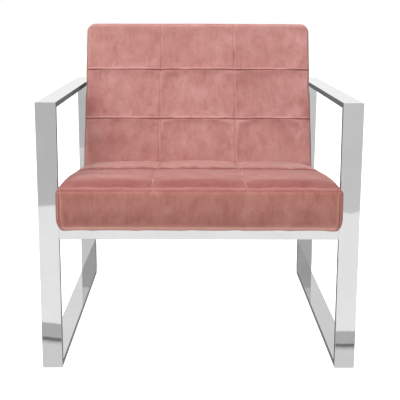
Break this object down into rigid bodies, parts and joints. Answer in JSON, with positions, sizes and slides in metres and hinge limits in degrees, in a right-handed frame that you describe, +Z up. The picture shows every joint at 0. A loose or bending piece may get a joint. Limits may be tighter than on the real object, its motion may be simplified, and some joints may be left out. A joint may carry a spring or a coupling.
{
  "type": "upholstered armchair",
  "caption": "Low lounge armchair: an L-shaped stitched velvet seat and back slung between two rectangular side loops of polished flat tube.",
  "frame": {"origin": "on the floor, under the middle of the chair's whole box", "axes": "+Z up, the chair faces -Y, +X to the right as seen from the front"},
  "size_m": [0.7, 0.736, 0.7581],
  "materials": {
    "polished_steel": "polished",
    "glide_plastic": "satin",
    "zinc_steel": "satin",
    "timber": "matte",
    "hardboard": "matte",
    "felt": "matte",
    "webbing": "matte",
    "foam": "matte",
    "velvet": "matte",
    "dust_cover": "matte"
  },
  "bodies": {
    "root": {"left_front_leg": "polished_steel", "left_rear_leg": "polished_steel", "left_arm_rail": "polished_steel", "left_floor_runner": "polished_steel", "right_front_leg": "polished_steel", "right_rear_leg": "polished_steel", "right_arm_rail": "polished_steel", "right_floor_runner": "polished_steel", "front_cross_rail": "polished_steel", "rear_cross_rail": "polished_steel", "left_seat_bearer": "polished_steel", "right_seat_bearer": "polished_steel", "floor_glides": "glide_plastic", "seat_bolts": "zinc_steel", "seat_bolt_washers": "zinc_steel", "seat_tee_nuts": "zinc_steel", "gusset_screws": "zinc_steel", "seat_springs": "zinc_steel", "spring_clips": "zinc_steel", "seat_front_rail": "timber", "seat_rear_rail": "timber", "left_seat_side_rail": "timber", "right_seat_side_rail": "timber", "left_back_stile": "timber", "right_back_stile": "timber", "back_top_rail": "timber", "back_lower_rail": "timber", "back_bottom_rail": "timber", "left_gusset_plate": "timber", "right_gusset_plate": "timber", "seat_corner_blocks": "timber", "back_corner_blocks": "timber", "frame_dowels": "timber", "back_board": "hardboard", "seat_felt": "felt", "back_webbing": "webbing", "seat_foam": "foam", "seat_front_foam": "foam", "back_foam": "foam", "back_top_foam": "foam", "left_seat_padding": "foam", "right_seat_padding": "foam", "left_back_padding": "foam", "right_back_padding": "foam", "back_rear_padding": "foam", "seat_top_cover": "velvet", "seat_front_boxing": "velvet", "left_seat_side_boxing": "velvet", "right_seat_side_boxing": "velvet", "back_front_cover": "velvet", "back_rear_cover": "velvet", "back_top_boxing": "velvet", "left_back_side_boxing": "velvet", "right_back_side_boxing": "velvet", "seat_dust_cover": "dust_cover"}
  },
  "joints": []
}
